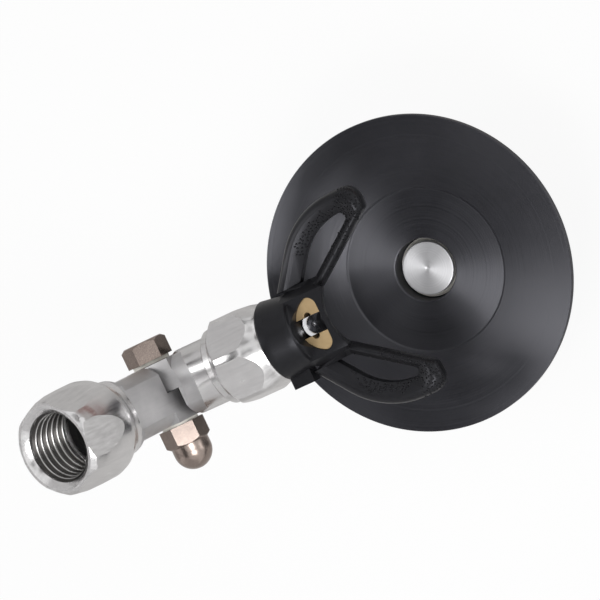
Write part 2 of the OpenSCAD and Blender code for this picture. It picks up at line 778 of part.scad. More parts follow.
// Turned disc: a shallow cone down from the rim, a flat middle with a recess, and a hub behind
module disc() {
    cone_z = flat_z + flat_step;
    color(black_plastic) at_knuckle() turned_on_axle([[-rim_drop - 0.6, disc_r], [-rim_drop, disc_r - 0.6],
        [cone_z, flat_r], [flat_z, flat_r], [flat_z, recess_r + 0.6], [flat_z - 0.6, recess_r],
        [recess_floor_z, recess_r], [recess_floor_z, bush_r], [hub_end_z, bush_r], [hub_end_z, hub_r],
        [flat_z - disc_t - 2, hub_r], [flat_z - disc_t, hub_r + 2], [flat_z - disc_t, flat_r],
        [-rim_drop - rim_t, disc_r]]);
}

module disc_bush() {
    color(bronze) axle_ring(journal_r + run_gap, bush_r, hub_end_z, recess_floor_z);
}

inlet_body();
inlet_gasket();
swivel_bolt();
bolt_seal();
cap_nut();
cap_seal();
lap_ring();
outlet_body();
guard_nut();
snap_ring();
tip_guard();
tip_pads();
tip_seat();
seat_gasket();
bracket_arm();
bracket_screws();
axle_pin();
axle_washer();
axle_nut();
lower_thrust_washer();
upper_thrust_washer();
disc();
disc_bush();
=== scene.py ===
# %% [markdown]
# # A rolling edge shield for a spray gun
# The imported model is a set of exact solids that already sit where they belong. This lesson dresses
# them: it sets the camera and the light, softens the machined edges, adds the thread, the grip pips and
# the tool marks that the solids leave out, and gives every surface its own finish. Nothing is moved, so
# each piece keeps the place that its solid has.

# %% Load the frame
import json
import math

import bmesh
import bpy
from mathutils import Matrix, Vector


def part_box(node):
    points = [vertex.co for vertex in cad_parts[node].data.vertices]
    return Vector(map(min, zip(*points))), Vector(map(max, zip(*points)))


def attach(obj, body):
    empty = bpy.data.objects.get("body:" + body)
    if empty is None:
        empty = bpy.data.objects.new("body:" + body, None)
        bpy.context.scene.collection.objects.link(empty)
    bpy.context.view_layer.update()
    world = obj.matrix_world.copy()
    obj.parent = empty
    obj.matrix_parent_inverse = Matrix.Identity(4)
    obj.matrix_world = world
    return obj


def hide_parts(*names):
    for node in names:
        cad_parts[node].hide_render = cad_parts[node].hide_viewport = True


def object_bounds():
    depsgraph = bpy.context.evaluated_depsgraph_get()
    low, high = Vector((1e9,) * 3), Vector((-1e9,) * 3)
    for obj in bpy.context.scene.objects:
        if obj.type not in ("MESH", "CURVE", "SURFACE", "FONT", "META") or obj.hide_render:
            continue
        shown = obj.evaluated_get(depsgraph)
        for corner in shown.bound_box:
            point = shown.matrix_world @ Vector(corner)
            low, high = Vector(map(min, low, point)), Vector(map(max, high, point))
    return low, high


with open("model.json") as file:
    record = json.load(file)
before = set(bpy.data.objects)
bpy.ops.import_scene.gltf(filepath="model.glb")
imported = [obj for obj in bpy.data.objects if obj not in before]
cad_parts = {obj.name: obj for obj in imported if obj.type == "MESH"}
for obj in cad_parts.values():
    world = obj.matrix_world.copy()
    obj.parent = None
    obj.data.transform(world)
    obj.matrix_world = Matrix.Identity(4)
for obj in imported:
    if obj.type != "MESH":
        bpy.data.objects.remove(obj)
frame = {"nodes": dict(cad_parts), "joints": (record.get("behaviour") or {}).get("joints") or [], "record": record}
cad_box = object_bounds()
nodes = frame["nodes"]
scene = bpy.context.scene
scene.view_settings.view_transform = "Standard"
MM = 0.001

# %% [markdown]
# ## Places that several steps share
# The knuckle is where the swivel bolt crosses both stems. The outlet, the guard and the disc are all
# measured from it, and the inlet leans back from it by the swivel's bend. Reading its place from the
# packed joint keeps the lesson true if the solid changes.

# %% Shared places
joints = {joint["name"]: joint for joint in frame["joints"]}
inlet_mount = frame["record"]["mounts"][0]
knuckle = Vector(joints["swivel_tilt"]["pos_m"])
axle = Vector(joints["disc_spin"]["pos_m"])
inlet_axis = Vector(inlet_mount["axis"]).normalized()
bolt_axis = Vector((0.0, 1.0, 0.0))
guard_axis = Vector((1.0, 0.0, 0.0))
disc_axis = Vector((0.0, 0.0, 1.0))
inlet_side = bolt_axis.cross(inlet_axis).normalized()
print("knuckle mm:", [round(v / MM, 2) for v in knuckle], "axle mm:", [round(v / MM, 2) for v in axle])

# %% [markdown]
# ## Camera
# The photograph looks down on the disc from in front of the guard, and it is rolled so that the swivel
# lies at the lower left. A long lens keeps the ellipses of the disc and the mouth as flat as they are
# there. The three directions are the picture's right, its up, and the way back to the camera.

# %% Camera
lens_mm, sensor_mm = 180.0, 36.0
picture_right = Vector((0.8274, -0.4300, -0.3612))
picture_up = Vector((0.3874, 0.9027, -0.1872))
to_camera = Vector((0.4066, 0.0150, 0.9135))
camera_place = knuckle + Vector((430.33, 22.32, 842.15)) * MM

camera_data = bpy.data.cameras.new("camera")
camera_data.lens = lens_mm
camera_data.sensor_width = sensor_mm
camera = bpy.data.objects.new("camera", camera_data)
scene.collection.objects.link(camera)
camera.matrix_world = Matrix.Translation(camera_place) @ Matrix(
    (picture_right, picture_up, to_camera)
).transposed().to_4x4()
scene.camera = camera
print("camera mm:", [round(v / MM, 1) for v in camera_place])

# %% [markdown]
# ## Light
# The photograph has a white ground and broad soft light. Two windows of light stand to the left and just
# below the camera, on one line across the disc, and they give its turned face a bow tie of brightness. A
# third one fills from the right. The world is white where the camera and mirrors see it, and dimmer where
# it only fills the shadows. Grey and dark boards stand round the set, out of sight, because polished
# metal looks like metal only when it has something darker than the sky to reflect. A floor just under the
# part takes a faint shadow.

# %% World
fill_strength, white_strength = 0.5, 1.0
world = bpy.data.worlds.new("studio")
scene.world = world
world.use_nodes = True
sky = world.node_tree
sky.nodes.clear()
path = sky.nodes.new("ShaderNodeLightPath")
seen = sky.nodes.new("ShaderNodeMath")
seen.operation = "MAXIMUM"
sky.links.new(path.outputs["Is Camera Ray"], seen.inputs[0])
mirrored = sky.nodes.new("ShaderNodeMath")
mirrored.operation = "MAXIMUM"
sky.links.new(path.outputs["Is Glossy Ray"], mirrored.inputs[0])
sky.links.new(path.outputs["Is Transmission Ray"], mirrored.inputs[1])
sky.links.new(mirrored.outputs[0], seen.inputs[1])
fill_light = sky.nodes.new("ShaderNodeBackground")
ground_light = sky.nodes.new("ShaderNodeBackground")
for light, strength in ((fill_light, fill_strength), (ground_light, white_strength)):
    light.inputs["Strength"].default_value = strength
    light.inputs["Color"].default_value = (1.0, 1.0, 1.0, 1.0)
choice = sky.nodes.new("ShaderNodeMixShader")
sky.links.new(seen.outputs[0], choice.inputs[0])
sky.links.new(fill_light.outputs[0], choice.inputs[1])
sky.links.new(ground_light.outputs[0], choice.inputs[2])
sky_out = sky.nodes.new("ShaderNodeOutputWorld")
sky.links.new(choice.outputs[0], sky_out.inputs["Surface"])
print("world: fill", fill_strength, "white", white_strength)

# %% Lamps
look_at = knuckle + Vector((55.0, 0.0, -15.0)) * MM


def aim(place, target):
    """Matrix that stands at a place, looks at a target along its own -Z, and keeps the picture's up."""
    out = (place - target).normalized()
    up = (picture_up - out * picture_up.dot(out)).normalized()
    return Matrix.Translation(place) @ Matrix((up.cross(out), up, out)).transposed().to_4x4()


def in_picture(right, up, back):
    """Direction that is given by the picture's right, its up, and the way back to the camera."""
    return (picture_right * right + picture_up * up + to_camera * back).normalized()


def soft_window(name, direction, distance, size, watts):
    """Area lamp that lights the part from a direction in the picture. Lengths are in metres."""
    lamp = bpy.data.lights.new(name, "AREA")
    lamp.shape = "RECTANGLE"
    lamp.size, lamp.size_y = size
    lamp.energy = watts
    holder = bpy.data.objects.new(name, lamp)
    scene.collection.objects.link(holder)
    holder.matrix_world = aim(look_at + in_picture(*direction) * distance, look_at)
    holder.visible_camera = False


soft_window("left_window", (-0.95, -0.12, 0.25), distance=0.8, size=(0.8, 0.26), watts=2.0)
soft_window("low_window", (-0.02, -0.44, 0.90), distance=0.20, size=(0.09, 0.09), watts=0.19)
soft_window("right_window", (0.80, 0.35, 0.50), distance=1.2, size=(0.5, 0.7), watts=1.65)

# %% Boards


def mirror_board(name, matrix, size, shade):
    """Board that only mirrors see: it darkens reflections and casts no shadow."""
    half_x, half_y = size[0] / 2, size[1] / 2
    corners = [(-half_x, -half_y, 0.0), (half_x, -half_y, 0.0), (half_x, half_y, 0.0), (-half_x, half_y, 0.0)]
    mesh = bpy.data.meshes.new(name)
    mesh.from_pydata(corners, [], [(0, 1, 2, 3)])
    board = bpy.data.objects.new(name, mesh)
    scene.collection.objects.link(board)
    board.matrix_world = matrix
    cloth = bpy.data.materials.new(name + "_cloth")
    cloth.use_nodes = True
    shader = cloth.node_tree.nodes["Principled BSDF"]
    shader.inputs["Base Color"].default_value = (*shade, 1.0)
    shader.inputs["Roughness"].default_value = 1.0
    shader.inputs["Specular IOR Level"].default_value = 0.0
    mesh.materials.append(cloth)
    board.visible_camera = False
    board.visible_diffuse = False
    board.visible_transmission = False
    board.visible_shadow = False
    return board


bell_place = knuckle + inlet_axis * 42.0 * MM
nut_place = knuckle + guard_axis * 30.0 * MM
card_gap = 0.3 * MM
floor_card = Matrix.Translation((look_at.x, look_at.y, cad_box[0][2] - card_gap))
boards = [mirror_board("floor_card", floor_card, size=(0.9, 0.9), shade=(0.72, 0.71, 0.70))]

# Each standing board: what it faces, the way to it, its distance and size in metres, and its shade
standing_boards = {
    "tall_board": (look_at, in_picture(-0.66, -0.30, 0.68), 1.4, (0.60, 2.0), (0.03, 0.03, 0.03)),
    "rim_board": (bell_place, in_picture(-0.875, -0.47, 0.207), 0.6, (0.45, 0.22), (0.80, 0.79, 0.79)),
    "grey_wall": (look_at, (-0.44, 0.87, 0.34), 0.5, (0.55, 0.34), (0.90, 0.89, 0.89)),
    "low_wall": (look_at, (-0.44, 0.87, -0.14), 0.5, (0.55, 0.18), (0.46, 0.44, 0.44)),
    "right_wall": (look_at, (-0.50, -0.75, 0.28), 0.5, (0.55, 0.60), (0.92, 0.91, 0.91)),
    "left_wall": (look_at, (-1.0, -0.02, -0.03), 0.55, (0.30, 0.30), (0.52, 0.50, 0.49)),
    "warm_board": (bell_place, (0.756, 0.53, -0.367), 0.22, (0.045, 0.14), (0.26, 0.10, 0.08)),
    "near_board": (bell_place, (0.738, -0.488, -0.40), 0.2, (0.03, 0.14), (0.05, 0.05, 0.055)),
    "far_board": (look_at, (-0.75, 0.60, 0.20), 0.6, (0.30, 0.30), (0.08, 0.07, 0.07)),
    "mouth_board": (bell_place, in_picture(0.27, -0.38, 0.88), 0.25, (0.13, 0.15), (0.35, 0.34, 0.34)),
    "edge_board": (bell_place, in_picture(-0.06, 0.57, 0.82), 0.25, (0.08, 0.08), (0.30, 0.29, 0.29)),
    "nut_board": (nut_place, in_picture(-0.12, 0.05, 0.98), 0.3, (0.10, 0.06), (0.42, 0.42, 0.42)),
    "bolt_board": (look_at, (0.10, 0.95, 0.05), 0.4, (0.08, 0.16), (0.05, 0.05, 0.055)),
}
for name, (target, direction, distance, size, shade) in standing_boards.items():
    place = target + Vector(direction).normalized() * distance
    boards.append(mirror_board(name, aim(place, target), size, shade))
print("boards:", [board.name for board in boards])

# %% Floor
floor_gap, floor_reach = 0.5 * MM, 3.0
floor_z = cad_box[0][2] - floor_gap
floor_mesh = bpy.data.meshes.new("floor")
floor_mesh.from_pydata(
    [
        (-floor_reach, -floor_reach, floor_z),
        (floor_reach, -floor_reach, floor_z),
        (floor_reach, floor_reach, floor_z),
        (-floor_reach, floor_reach, floor_z),
    ],
    [],
    [(0, 1, 2, 3)],
)
floor = bpy.data.objects.new("floor", floor_mesh)
scene.collection.objects.link(floor)
print("floor at mm:", round(floor_z / MM, 2))

# %% [markdown]
# ## Shader arithmetic
# A finish is easier to read as a sum than as a web of nodes. The first class below wraps one socket, and
# Python's own signs add the Math nodes. One method makes every other node: its settings first, then its
# sockets. The second class is a material, with the patterns that several finishes share.

# %% Signals


class Signal:
    """One output socket of a material, ready for sums."""

    def __init__(self, tree, socket):
        self.tree = tree
        self.socket = socket

    def node(self, kind, settings=None, sockets=None, output=0):
        """Any node: its settings first, then the values or links of its sockets."""
        made = self.tree.nodes.new(kind)
        for key, value in (settings or {}).items():
            if key == "stops":
                ramp = made.color_ramp
                while len(ramp.elements) < len(value):
                    ramp.elements.new(0.5)
                for element, (place, colour) in zip(ramp.elements, value):
                    element.position = place
                    element.color = colour
            else:
                setattr(made, key, value)
        for key, value in (sockets or {}).items():
            if isinstance(value, Signal):
                self.tree.links.new(value.socket, made.inputs[key])
            else:
                made.inputs[key].default_value = value
        return Signal(self.tree, made.outputs[output])

    def sum(self, operation, first, second=0.0):
        """A Math node on two values or signals."""
        return self.node("ShaderNodeMath", {"operation": operation}, {0: first, 1: second})

    def __add__(self, other):
        return self.sum("ADD", self, other)

    def __radd__(self, other):
        return self.sum("ADD", other, self)

    def __sub__(self, other):
        return self.sum("SUBTRACT", self, other)

    def __rsub__(self, other):
        return self.sum("SUBTRACT", other, self)

    def __mul__(self, other):
        return self.sum("MULTIPLY", self, other)

    def __rmul__(self, other):
        return self.sum("MULTIPLY", other, self)

    def __truediv__(self, other):
        return self.sum("DIVIDE", self, other)

    def __rtruediv__(self, other):
        return self.sum("DIVIDE", other, self)

    def above(self, limit, width):
        """0 below the limit, 1 above it, with a soft step of the given width."""
        step = {"From Min": limit - width / 2, "From Max": limit + width / 2, "To Min": 0.0, "To Max": 1.0}
        return self.node("ShaderNodeMapRange", {"clamp": True}, {"Value": self, **step})


print("socket wrapper:", Signal.__name__)

# %% Finish patterns


class Finish:
    """A material with one Principled shader and the coordinates that its patterns read."""

    def __init__(self, name, colour, metallic=0.0, roughness=0.5, **constants):
        self.material = bpy.data.materials.new(name)
        self.material.use_nodes = True
        tree = self.material.node_tree
        tree.nodes.clear()
        self.tree = tree
        out = tree.nodes.new("ShaderNodeOutputMaterial")
        self.shader = tree.nodes.new("ShaderNodeBsdfPrincipled")
        tree.links.new(self.shader.outputs[0], out.inputs["Surface"])
        self.set(**{"Base Color": (*colour, 1.0), "Metallic": metallic, "Roughness": roughness})
        self.set(**{key.replace("_", " "): value for key, value in constants.items()})
        where = tree.nodes.new("ShaderNodeTexCoord")
        self.place = Signal(tree, where.outputs["Object"])
        self.material.diffuse_color = (*colour, 1.0)

    def set(self, **sockets):
        """Fills or links sockets of the shader by their names."""
        for key, value in sockets.items():
            if isinstance(value, Signal):
                self.tree.links.new(value.socket, self.shader.inputs[key])
            else:
                self.shader.inputs[key].default_value = value

    def vector(self, operation, first, second=(0.0, 0.0, 0.0), output=0, scale=None):
        """A Vector Math node, with a second vector or a scale."""
        sockets = {0: first, 1: second}
        if scale is not None:
            sockets = {0: first, "Scale": scale}
        return self.place.node("ShaderNodeVectorMath", {"operation": operation}, sockets, output)

    def along(self, axis, origin=(0.0, 0.0, 0.0)):
        """Distance along an axis from an origin, in millimetres."""
        away = self.vector("SUBTRACT", self.place, tuple(origin))
        return self.vector("DOT_PRODUCT", away, tuple(axis), "Value") / MM

    def off_axis(self, axis, origin=(0.0, 0.0, 0.0)):
        """Distance from the line through an origin along an axis, in millimetres."""
        away = self.vector("SUBTRACT", self.place, tuple(origin))
        down = self.vector("DOT_PRODUCT", away, tuple(axis), "Value")
        level = self.vector("SUBTRACT", away, self.vector("SCALE", tuple(axis), scale=down))
        return self.vector("LENGTH", level, output="Value") / MM

    def noise(self, per_mm, detail=3.0):
        """Even noise with a number of blots to the millimetre."""
        spread = self.vector("MULTIPLY", self.place, (per_mm / MM,) * 3)
        sockets = {"Vector": spread, "Scale": 1.0, "Detail": detail}
        return self.place.node("ShaderNodeTexNoise", {"noise_dimensions": "3D"}, sockets, "Fac")

    def grain(self, lengthwise, per_mm, drawn_out=0.06, detail=3.0):
        """Noise that is drawn out along one direction, as brushed metal is."""
        side = lengthwise.orthogonal().normalized()
        steps = {
            "X": self.along(lengthwise) * (per_mm * drawn_out),
            "Y": self.along(side) * per_mm,
            "Z": self.along(lengthwise.cross(side)) * per_mm,
        }
        spread = self.place.node("ShaderNodeCombineXYZ", {}, steps)
        sockets = {"Vector": spread, "Scale": 1.0, "Detail": detail}
        return self.place.node("ShaderNodeTexNoise", {}, sockets, "Fac")

    def shades(self, factor, dark, light):
        """Colour between two shades, by a factor of 0 to 1."""
        stops = [(0.0, (*dark, 1.0)), (1.0, (*light, 1.0))]
        return self.place.node("ShaderNodeValToRGB", {"stops": stops}, {"Fac": factor}, "Color")

    def bump(self, height, depth_mm):
        """Normal of a height of 0 to 1 that stands for a real depth."""
        sockets = {"Height": height, "Distance": depth_mm * MM, "Strength": 1.0}
        return self.place.node("ShaderNodeBump", {}, sockets, "Normal")

    def turned(self, centre, pitch_mm, tilt):
        """Normal that fine tool marks round an upright axis give, and the marks themselves."""
        away = self.vector("SUBTRACT", self.place, tuple(centre))
        flat = self.vector("MULTIPLY", away, (1.0, 1.0, 0.0))
        radius = self.vector("LENGTH", flat, output="Value") / MM
        outward = self.vector("NORMALIZE", flat)
        sockets = {"W": radius / pitch_mm, "Scale": 1.0, "Detail": 2.0}
        ring = self.place.node("ShaderNodeTexNoise", {"noise_dimensions": "1D"}, sockets, "Fac")
        lean = self.vector("SCALE", outward, scale=(ring - 0.5) * (2.0 * tilt))
        spaces = {"vector_type": "VECTOR", "convert_from": "OBJECT", "convert_to": "WORLD"}
        world_lean = self.place.node("ShaderNodeVectorTransform", spaces, {0: lean})
        surface = Signal(self.tree, self.tree.nodes.new("ShaderNodeNewGeometry").outputs["Normal"])
        return self.vector("NORMALIZE", self.vector("ADD", surface, world_lean)), ring


print("material wrapper:", Finish.__name__)

# %% [markdown]
# ## Finishes
# The swivel is bright aluminium: polished where it was turned, and dull where a cutter flattened its cheeks,
# which are also painted darker as shade. The bolt and the cap nut are nickel plated, with a warm tint. The
# disc and the guard are both black plastic, but the disc was turned and shows rings, while the guard was
# moulded and has a soft skin.
# All of these could be pictures wrapped round a mesh. Patterns that are worked out from a place on the
# part need no unwrapping, and they stay sharp at any distance.

# %% Ground
white_share = 0.92
ground = Finish("pale_ground", (0.93, 0.93, 0.93), roughness=0.9)
blots = ground.noise(0.02)
ground.set(**{"Base Color": ground.shades(blots, (0.92, 0.92, 0.92), (0.94, 0.94, 0.94))})
ray = ground.tree.nodes.new("ShaderNodeLightPath")
looked_at = Signal(ground.tree, ray.outputs["Is Camera Ray"])
for kind in ("Is Glossy Ray", "Is Transmission Ray"):
    looked_at = looked_at.sum("MAXIMUM", looked_at, Signal(ground.tree, ray.outputs[kind]))
white = ground.place.node("ShaderNodeEmission", {}, {"Color": (1.0, 1.0, 1.0, 1.0), "Strength": 1.0})
lit = Signal(ground.tree, ground.shader.outputs[0])
blend = ground.place.node("ShaderNodeMixShader", {}, {0: looked_at * white_share, 1: lit, 2: white})
ground.tree.links.new(blend.socket, ground.tree.nodes["Material Output"].inputs["Surface"])
floor_mesh.materials.append(ground.material)
print("ground:", ground.material.name)

# %% Bright aluminium


def milled_and_shaded_zone(finish, across, cutter_mm, edge_mm=0.2, core_mm=4.5, core_edge_mm=2.0):
    """1 on the cheeks that a face cutter cut flat about the knuckle, 0 elsewhere and in the core: dull, and
    painted shade.
    """
    inside = 1.0 - finish.off_axis(across, knuckle).above(cutter_mm, edge_mm)
    depth = finish.along(across, knuckle)
    return inside * depth.sum("ABSOLUTE", depth).above(core_mm, core_edge_mm)


def bright_aluminium(name, lengthwise, across=None, cutter_mm=0.0):
    """Aluminium that is brushed along its length, dull where a cutter cut its cheeks flat, and painted darker
    there as shade.
    """
    finish = Finish(name, (0.74, 0.73, 0.73), metallic=1.0, roughness=0.22)
    cloud = finish.noise(0.3)
    milled_and_shaded = milled_and_shaded_zone(finish, across, cutter_mm) if across else 0.0
    streak = 0.5 + (finish.grain(lengthwise, 1.3) - 0.5) * (1.0 - milled_and_shaded * 0.75)
    # The cut cheeks are painted darker: painted shade, on top of their duller finish.
    tone = 0.22 + cloud * 0.3 + streak * 0.6 - milled_and_shaded * 0.5
    finish.set(
        **{
            "Roughness": 0.10 + cloud * 0.08 + streak * 0.18 + milled_and_shaded * 0.24,
            "Base Color": finish.shades(tone, (0.42, 0.415, 0.42), (0.82, 0.81, 0.81)),
            "Normal": finish.bump(streak, 0.004),
        }
    )
    return finish


# Both stems get painted shade on their cut cheeks; on the outlet the zone also reaches past its modelled flat.
inlet_metal = bright_aluminium("inlet_aluminium", inlet_axis, inlet_side, cutter_mm=29.5)
outlet_metal = bright_aluminium("outlet_aluminium", guard_axis, disc_axis, cutter_mm=16.3)
nut_metal = bright_aluminium("nut_aluminium", guard_axis)
print("aluminium:", inlet_metal.material.name, outlet_metal.material.name, nut_metal.material.name)

# %% Nickel, brass and steel


def worn_metal(name, dark, light, roughness, spread, cloud_per_mm=0.5, grain_per_mm=6.0, grain_mm=0.003):
    """Metal whose colour drifts between two shades, with a fine grain."""
    finish = Finish(name, light, metallic=1.0, roughness=roughness)
    cloud = finish.noise(cloud_per_mm)
    fine = finish.noise(grain_per_mm, detail=2.0)
    finish.set(
        **{
            "Base Color": finish.shades(cloud, dark, light),
            "Roughness": roughness + (fine - 0.5) * spread,
            "Normal": finish.bump(fine, grain_mm),
        }
    )
    return finish


nickel = worn_metal("nickel_plate", (0.27, 0.22, 0.195), (0.37, 0.305, 0.27), roughness=0.26, spread=0.16)
brass_finish = worn_metal("pad_brass", (0.36, 0.26, 0.14), (0.46, 0.34, 0.195), roughness=0.5, spread=0.2)
bronze_finish = worn_metal("bush_bronze", (0.50, 0.34, 0.18), (0.62, 0.44, 0.25), roughness=0.38, spread=0.2)
seat_finish = worn_metal("seat_steel", (0.62, 0.62, 0.64), (0.72, 0.72, 0.74), roughness=0.22, spread=0.1)
spring_finish = worn_metal("ring_steel", (0.34, 0.34, 0.35), (0.46, 0.46, 0.47), roughness=0.3, spread=0.15)
print("metals:", nickel.material.name, brass_finish.material.name, seat_finish.material.name)

# %% Plastics, paint and seals


def moulded(name, dark, light, roughness, skin_per_mm, skin_mm, cloud_per_mm=0.15, spread=0.2):
    """Plastic, paint or rubber with a soft skin."""
    finish = Finish(name, light, roughness=roughness)
    cloud = finish.noise(cloud_per_mm)
    skin = finish.noise(skin_per_mm, detail=2.0)
    finish.set(
        **{
            "Base Color": finish.shades(cloud, dark, light),
            "Roughness": roughness + (skin - 0.5) * spread,
            "Normal": finish.bump(skin, skin_mm),
        }
    )
    return finish


cool_black = (0.91, 0.915, 1.0, 1.0)
guard_plastic = moulded("guard_plastic", (0.008, 0.008, 0.009), (0.013, 0.013, 0.0145), 0.32, 2.2, 0.012)
guard_plastic.set(**{"Specular IOR Level": 0.24, "Specular Tint": cool_black})
bracket_paint = moulded("bracket_paint", (0.014, 0.014, 0.014), (0.022, 0.022, 0.022), 0.45, 3.0, 0.03)
seal_nylon = moulded("seal_nylon", (0.66, 0.64, 0.58), (0.74, 0.72, 0.66), 0.5, 2.0, 0.01)
seal_rubber = moulded("seal_rubber", (0.016, 0.016, 0.016), (0.024, 0.024, 0.024), 0.65, 3.0, 0.02)
print("moulded:", guard_plastic.material.name, bracket_paint.material.name, seal_nylon.material.name)

# %% Turned finishes


def turn_marks(finish, pitch_mm, tilt, cloud_per_mm, shades, roughness, by_cloud, by_ring):
    """Gives a finish fine rings round the axle. Clouds and rings each add their share of roughness."""
    normal, ring = finish.turned(axle, pitch_mm, tilt)
    cloud = finish.noise(cloud_per_mm)
    finish.set(
        **{
            "Base Color": finish.shades(cloud * 0.4 + ring * 0.6, *shades),
            "Roughness": roughness + cloud * by_cloud + ring * by_ring,
            "Normal": normal,
        }
    )


disc_plastic = Finish(
    "disc_plastic",
    (0.013, 0.013, 0.0145),
    roughness=0.34,
    Specular_IOR_Level=0.85,
    Specular_Tint=cool_black,
    Anisotropic=0.85,
    Anisotropic_Rotation=0.25,
)
turn_marks(
    disc_plastic,
    pitch_mm=0.6,
    tilt=0.07,
    cloud_per_mm=0.1,
    shades=((0.006, 0.006, 0.008), (0.017, 0.017, 0.0205)),
    roughness=0.26,
    by_cloud=0.06,
    by_ring=0.16,
)

pin_metal = Finish(
    "pin_aluminium",
    (0.55, 0.55, 0.565),
    metallic=1.0,
    roughness=0.5,
    Anisotropic=0.55,
    Anisotropic_Rotation=0.25,
)
turn_marks(
    pin_metal,
    pitch_mm=0.4,
    tilt=0.06,
    cloud_per_mm=0.4,
    shades=((0.53, 0.53, 0.545), (0.68, 0.68, 0.695)),
    roughness=0.44,
    by_cloud=0.1,
    by_ring=0.0,
)
print("turned:", disc_plastic.material.name, pin_metal.material.name)

# %% [markdown]
# ## Softened edges
# A solid's edge is perfectly sharp, and a perfectly sharp edge never catches the light. Each machined or
# moulded piece is copied, its loose triangles are joined, and a narrow bevel goes round every true edge.
# The bevel only takes material away, so the copy stays inside its solid. Smooth shading would then bend
# the light across the bell's and the nut's flats, so the edges of every broad flat are kept sharp.

# %% Flats that stay sharp
crease_degrees = 38.0
same_plane_cosine = 0.99999


def flat_areas(shape):
    """Area in square millimetres of the flat patch that each face belongs to."""
    areas = {}
    for seed in shape.faces:
        if seed in areas:
            continue
        patch, waiting = {seed}, [seed]
        while waiting:
            for edge in waiting.pop().edges:
                for face in edge.link_faces:
                    known = face in patch or face in areas
                    if not known and face.normal.dot(seed.normal) > same_plane_cosine:
                        patch.add(face)
                        waiting.append(face)
        area = sum(face.calc_area() for face in patch) / MM**2
        areas.update((face, area) for face in patch)
    return areas


def keep_flats(mesh, flat_crease=4.5, flat_mm2=18.0):
    """Marks sharp edges: all steep ones, and gentle ones where a broad flat meets a round."""
    shape = bmesh.new()
    shape.from_mesh(mesh)
    areas = flat_areas(shape)
    for edge in shape.edges:
        if len(edge.link_faces) == 2:
            turn = math.degrees(edge.calc_face_angle(0.0))
            broad = max(areas[face] for face in edge.link_faces) > flat_mm2
            edge.smooth = turn < (flat_crease if broad else crease_degrees)
    shape.to_mesh(mesh)
    shape.free()


print("sharp from degrees:", crease_degrees)

# %% Bevelled copies
weld_mm = 0.002
same_plane_degrees = 0.02


def joined_copy(name, solid):
    """Copy of a solid's loose triangles as one mesh with whole flats."""
    mesh = bpy.data.meshes.new(name)
    mesh.from_pydata([v.co for v in solid.vertices], [], [face.vertices[:] for face in solid.polygons])
    shape = bmesh.new()
    shape.from_mesh(mesh)
    bmesh.ops.remove_doubles(shape, verts=shape.verts, dist=weld_mm * MM)
    bmesh.ops.dissolve_limit(
        shape,
        angle_limit=math.radians(same_plane_degrees),
        verts=shape.verts,
        edges=shape.edges,
        use_dissolve_boundaries=False,
    )
    shape.to_mesh(mesh)
    shape.free()
    return mesh


def dressed(name, node, body, finish, edge_mm, segments=2, edge_degrees=32.0, mark=None, rule=None):
    """Bevelled copy of a node that takes its place. The rule says which points carry the mark."""
    mesh = joined_copy(name, nodes[node].data)
    mesh.materials.append(finish.material)
    piece = bpy.data.objects.new(name, mesh)
    scene.collection.objects.link(piece)
    bevel = piece.modifiers.new("edge", "BEVEL")
    bevel.width = edge_mm * MM
    bevel.segments = segments
    bevel.limit_method = "ANGLE"
    bevel.angle_limit = math.radians(edge_degrees)
    bevel.use_clamp_overlap = True
    view = bpy.context.evaluated_depsgraph_get()
    done = bpy.data.meshes.new_from_object(piece.evaluated_get(view))
    piece.modifiers.clear()
    piece.data = done
    done.shade_smooth()
    keep_flats(done)
    if mark:
        values = done.attributes.new(mark, "FLOAT", "POINT").data
        for vertex, value in zip(done.vertices, values):
            value.value = float(rule((vertex.co - knuckle) / MM, vertex.normal))
    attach(piece, body)
    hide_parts(node)
    print(name, "faces:", len(done.polygons))
    return piece


print("joined within mm:", weld_mm)

# %% Bevelled pieces
# Millimetres from the knuckle: a wing's window, where its grip begins, and where its tip begins
window_x, window_y = 72.0, 21.0
grip_x, grip_y = 58.0, 14.0
tip_x = 80.0
grip_slope = 0.42
upward = 0.2


def on_grip(place, facing):
    """Moulded grip on the slopes round a wing's window and on the wing's tip."""
    inward = Vector((window_x - place.x, math.copysign(window_y, place.y) - place.y, 0.0)).normalized()
    slope = abs(place.y) > grip_y and place.x > grip_x and facing.dot(inward) > grip_slope
    return facing.z > upward and (slope or place.x > tip_x)


dressed("inlet_casting", "inlet_body", "inlet", inlet_metal, edge_mm=0.25)
dressed("swivel_bolt_plated", "swivel_bolt", "inlet", nickel, edge_mm=0.25)
dressed("cap_nut_plated", "cap_nut", "inlet", nickel, edge_mm=0.25)
dressed("outlet_stem", "outlet_body", "outlet", outlet_metal, edge_mm=0.25)
dressed("guard_nut_bright", "guard_nut", "outlet", nut_metal, edge_mm=0.3)
guard_piece = dressed(
    "guard_moulding",
    "tip_guard",
    "guard",
    guard_plastic,
    edge_mm=0.4,
    mark="stippled",
    rule=on_grip,
)
dressed("pads_brass", "tip_pads", "guard", brass_finish, edge_mm=0.2)
dressed("seat_bright", "tip_seat", "guard", seat_finish, edge_mm=0.12)
dressed("bracket_strip", "bracket_arm", "guard", bracket_paint, edge_mm=0.5, segments=3)
dressed("axle_nut_plated", "axle_nut", "guard", nickel, edge_mm=0.2)
dressed("bracket_screws_plated", "bracket_screws", "guard", nickel, edge_mm=0.2)

# %% [markdown]
# ## Grip pips
# The guard is pulled and turned by its wings, so the mould leaves small pips on their slopes and tips.
# They could be a bump in the finish, but real pips also show on the outline.
# Geometry Nodes scatter points over the marked slopes, no two closer than a set distance, and put one
# small frustum on each.

# %% Node group helpers


